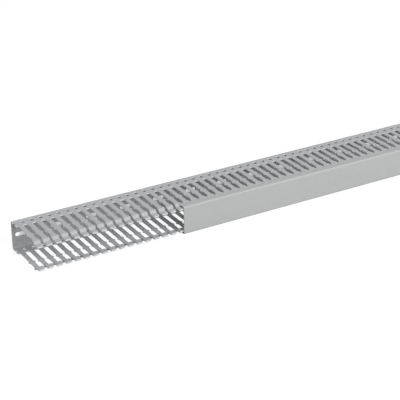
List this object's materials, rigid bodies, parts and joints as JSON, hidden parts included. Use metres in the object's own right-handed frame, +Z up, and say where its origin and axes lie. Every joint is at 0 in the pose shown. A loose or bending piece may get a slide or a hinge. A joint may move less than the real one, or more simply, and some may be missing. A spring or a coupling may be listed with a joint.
{
  "type": "slotted wire duct",
  "caption": "Straight open-slot wiring duct with necked fingers and a push-fit cover slid part of the way along.",
  "frame": {"origin": "on the floor, under the middle of the box around duct and cover as they lie", "axes": "+X along the duct towards the end that the cover overhangs, +Y from the cover to the mounting base, +Z up, from the side wall it lies on to the other"},
  "size_m": [1.208, 0.08, 0.04],
  "materials": {
    "duct_grey_pvc": "satin extruded",
    "cover_grey_pvc": "satin extruded"
  },
  "bodies": {
    "duct": {"slotted_body": "duct_grey_pvc"},
    "cover": {"cover": "cover_grey_pvc"}
  },
  "joints": [
    {"name": "cover_slide", "type": "slide", "parent": "duct", "child": "cover", "axis": [1, 0, 0], "range_m": [-1.108, 0.692]}
  ]
}
